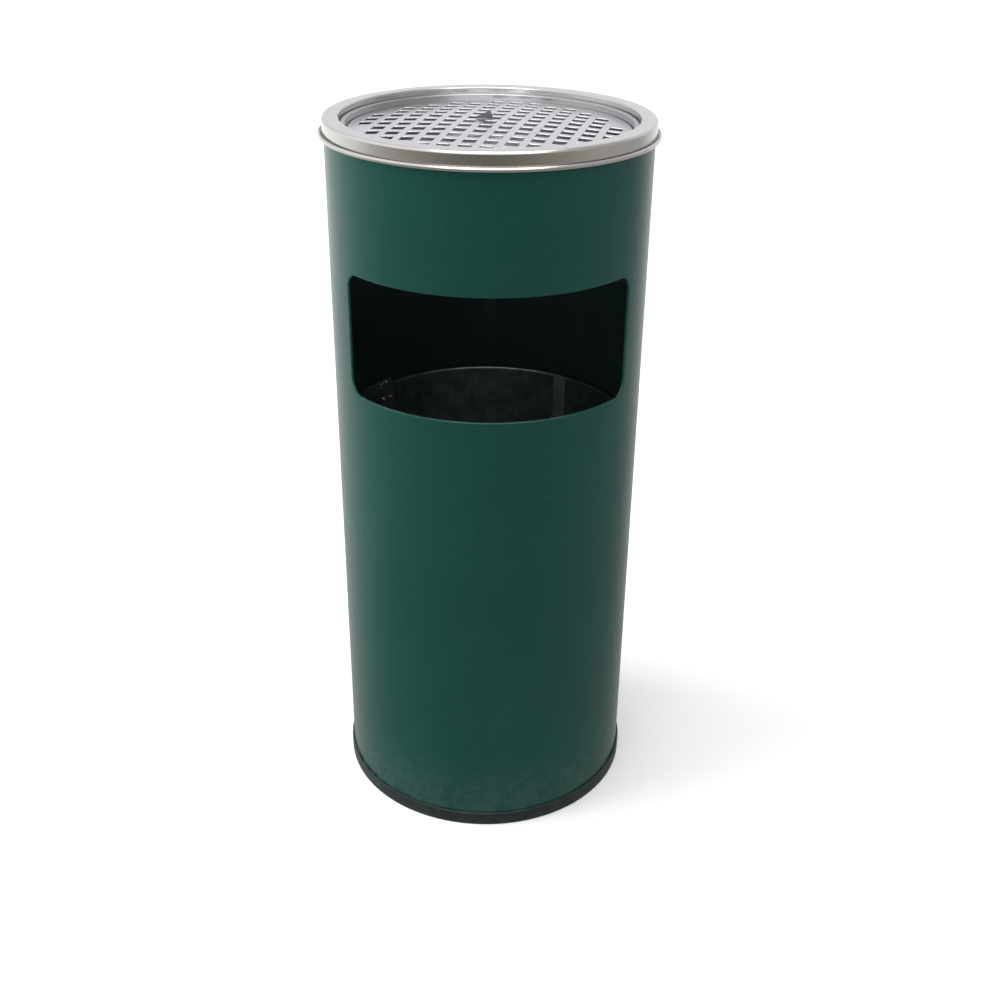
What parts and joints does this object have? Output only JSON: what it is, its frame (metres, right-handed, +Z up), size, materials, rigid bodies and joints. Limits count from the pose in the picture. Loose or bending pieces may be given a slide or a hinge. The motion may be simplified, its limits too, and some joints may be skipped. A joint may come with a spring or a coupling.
{
  "type": "ashtray bin",
  "caption": "Round free-standing litter bin with a wide side opening, a lift-off ashtray top with a perforated grate over an ash pan, and a loose liner with a bail handle.",
  "frame": {"origin": "on the floor, at the centre of the foot ring's underside", "axes": "+Z up along the bin's axis, -Y towards the side opening, +X to the right seen from the opening"},
  "size_m": [0.2586, 0.2586, 0.5839],
  "materials": {
    "green_powder_coat": "fine-textured dark green powder coat, satin",
    "black_plastic": "moulded charcoal black plastic, satin",
    "satin_stainless": "satin stainless steel, brushed round the rim",
    "pressed_stainless": "bright pressed stainless sheet",
    "grate_stainless": "bright punched stainless sheet with light scuffs",
    "galvanised_sheet": "dull galvanised sheet with faint spangle",
    "zinc_wire": "zinc-plated wire and small pressings"
  },
  "bodies": {
    "shell": {"outer_shell": "green_powder_coat", "base_ring": "black_plastic", "bottom_plate": "galvanised_sheet"},
    "top": {"ashtray_ring": "satin_stainless"},
    "pan": {"ash_pan": "pressed_stainless"},
    "grate": {"grate": "grate_stainless", "lift_tab": "grate_stainless"},
    "liner": {"liner_wall": "galvanised_sheet", "liner_rim_wire": "zinc_wire", "liner_bottom": "galvanised_sheet", "liner_ear_a": "zinc_wire", "liner_ear_b": "zinc_wire", "liner_rivet_a1": "zinc_wire", "liner_rivet_a2": "zinc_wire", "liner_rivet_b1": "zinc_wire", "liner_rivet_b2": "zinc_wire"},
    "bail": {"bail_handle": "zinc_wire"}
  },
  "joints": [
    {"name": "liner_lift", "type": "slide", "parent": "shell", "child": "liner", "axis": [0, 0, 1], "range_m": [0, 0.6]},
    {"name": "top_lift", "type": "slide", "parent": "shell", "child": "top", "axis": [0, 0, 1], "range_m": [0, 0.72]},
    {"name": "pan_lift", "type": "slide", "parent": "top", "child": "pan", "axis": [0, 0, 1], "range_m": [0, 0.1]},
    {"name": "grate_lift", "type": "slide", "parent": "pan", "child": "grate", "axis": [0, 0, 1], "range_m": [0, 0.08]},
    {"name": "bail_swing", "type": "hinge", "parent": "liner", "child": "bail", "pos_m": [0, 0, 0.3363], "axis": [-0.788, 0.6157, 0], "range_deg": [0, 180]}
  ],
  "couplings": [
    {"joint": "top_lift", "follows": "liner_lift", "ratio": 1.2}
  ]
}
